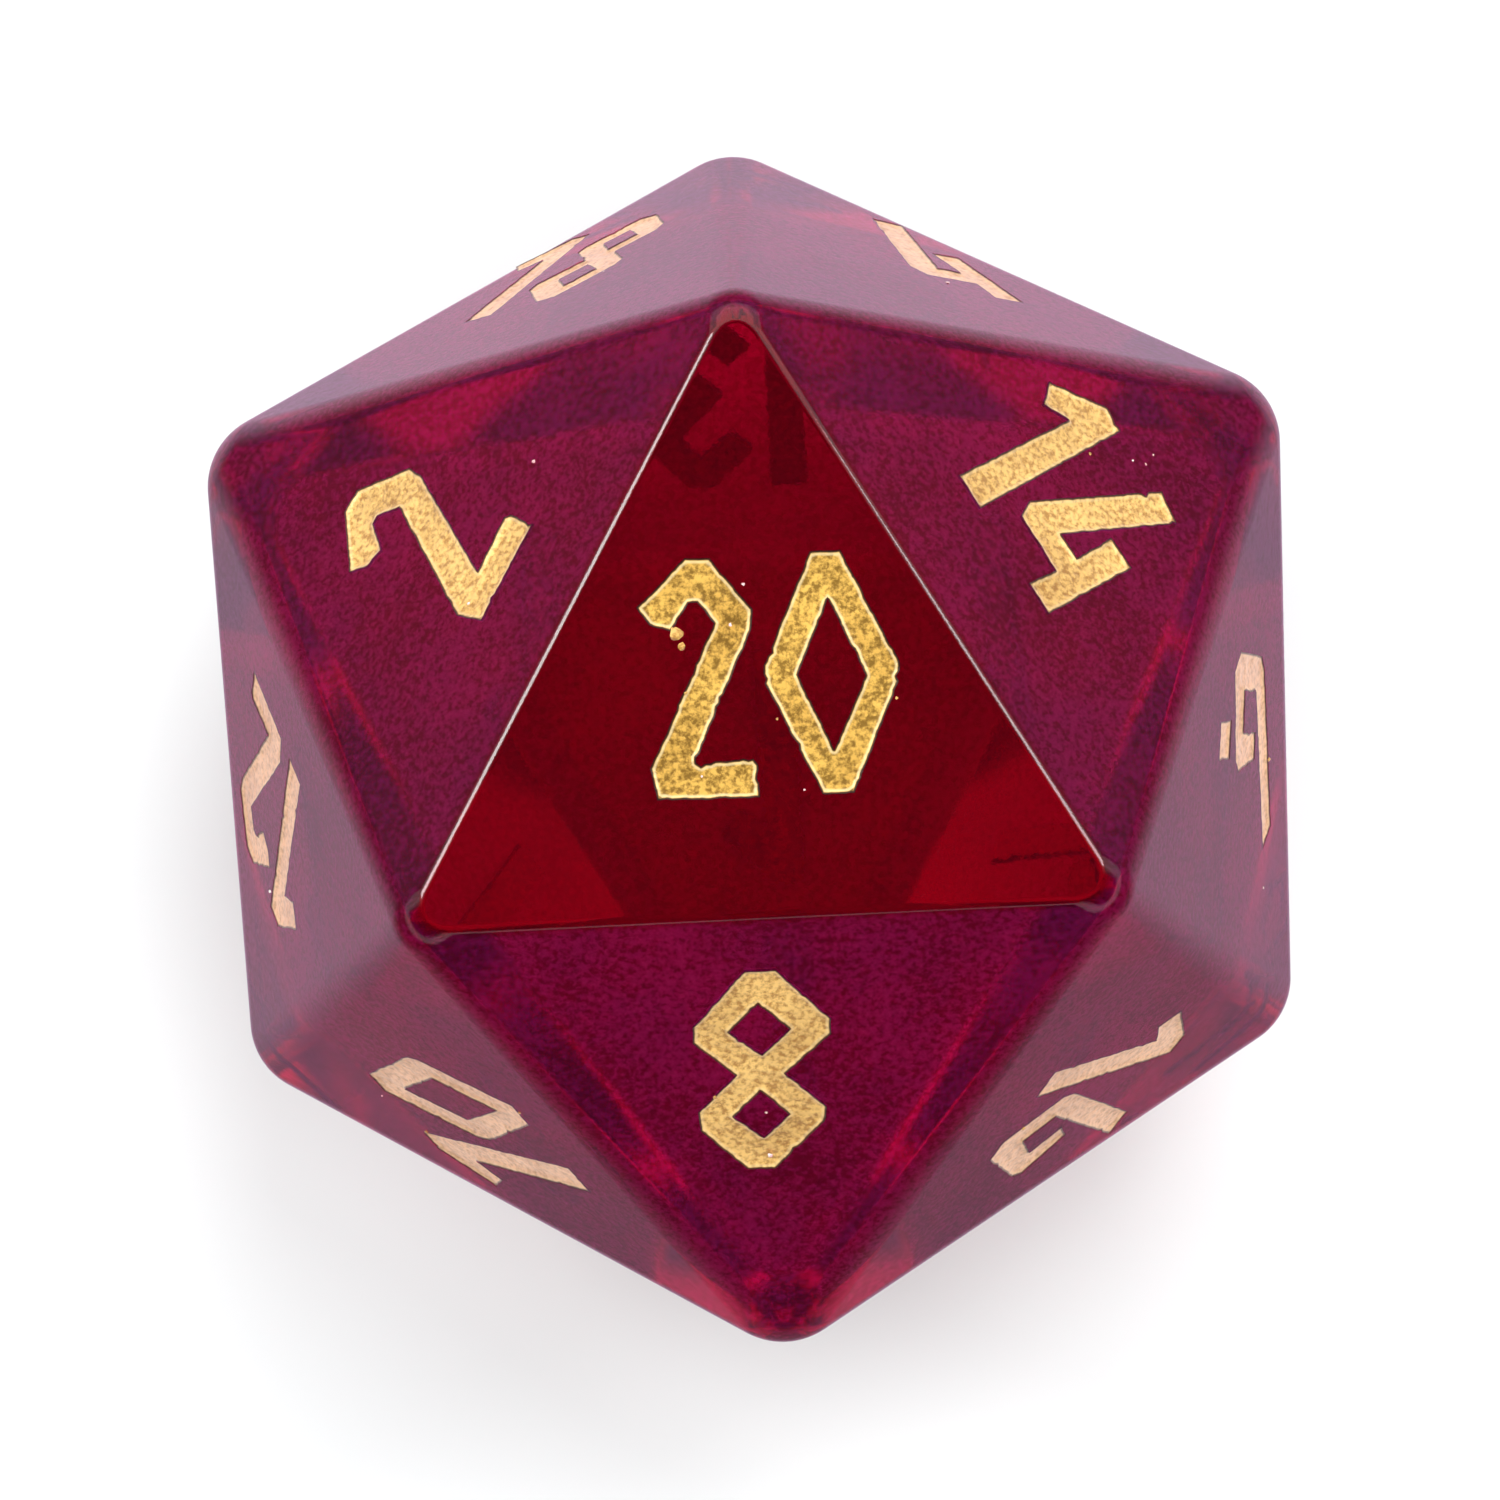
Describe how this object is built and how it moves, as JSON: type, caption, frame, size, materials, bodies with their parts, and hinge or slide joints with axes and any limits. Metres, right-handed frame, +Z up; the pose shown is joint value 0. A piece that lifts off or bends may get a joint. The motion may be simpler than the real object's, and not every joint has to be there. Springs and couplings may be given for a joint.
{
  "type": "twenty-sided die",
  "caption": "Icosahedral tabletop gaming die of transparent ruby glass with engraved numerals filled in gold; it is thrown to pick a random number and rests on any face.",
  "frame": {"origin": "middle of the resting face, the one numbered 1, at the bottom of the die", "axes": "+Z up, out of the face numbered 20; +Y is the way the tops of the digits of 20 point; +X is the reading direction of 20"},
  "size_m": [0.0212, 0.024, 0.02],
  "materials": {
    "ruby_glass": "polished transparent ruby red",
    "gold_paint": "metallic gold paint, slightly pebbly"
  },
  "bodies": {
    "root": {"glass_body": "ruby_glass", "numeral_01": "gold_paint", "numeral_02": "gold_paint", "numeral_03": "gold_paint", "numeral_04": "gold_paint", "numeral_05": "gold_paint", "numeral_06": "gold_paint", "numeral_06_dot": "gold_paint", "numeral_07": "gold_paint", "numeral_08": "gold_paint", "numeral_09": "gold_paint", "numeral_09_dot": "gold_paint", "numeral_10_ones": "gold_paint", "numeral_10_tens": "gold_paint", "numeral_11_ones": "gold_paint", "numeral_11_tens": "gold_paint", "numeral_12_ones": "gold_paint", "numeral_12_tens": "gold_paint", "numeral_13_ones": "gold_paint", "numeral_13_tens": "gold_paint", "numeral_14_ones": "gold_paint", "numeral_14_tens": "gold_paint", "numeral_15_ones": "gold_paint", "numeral_15_tens": "gold_paint", "numeral_16_ones": "gold_paint", "numeral_16_tens": "gold_paint", "numeral_17_ones": "gold_paint", "numeral_17_tens": "gold_paint", "numeral_18_ones": "gold_paint", "numeral_18_tens": "gold_paint", "numeral_19_ones": "gold_paint", "numeral_19_tens": "gold_paint", "numeral_20_ones": "gold_paint", "numeral_20_tens": "gold_paint"}
  },
  "joints": []
}
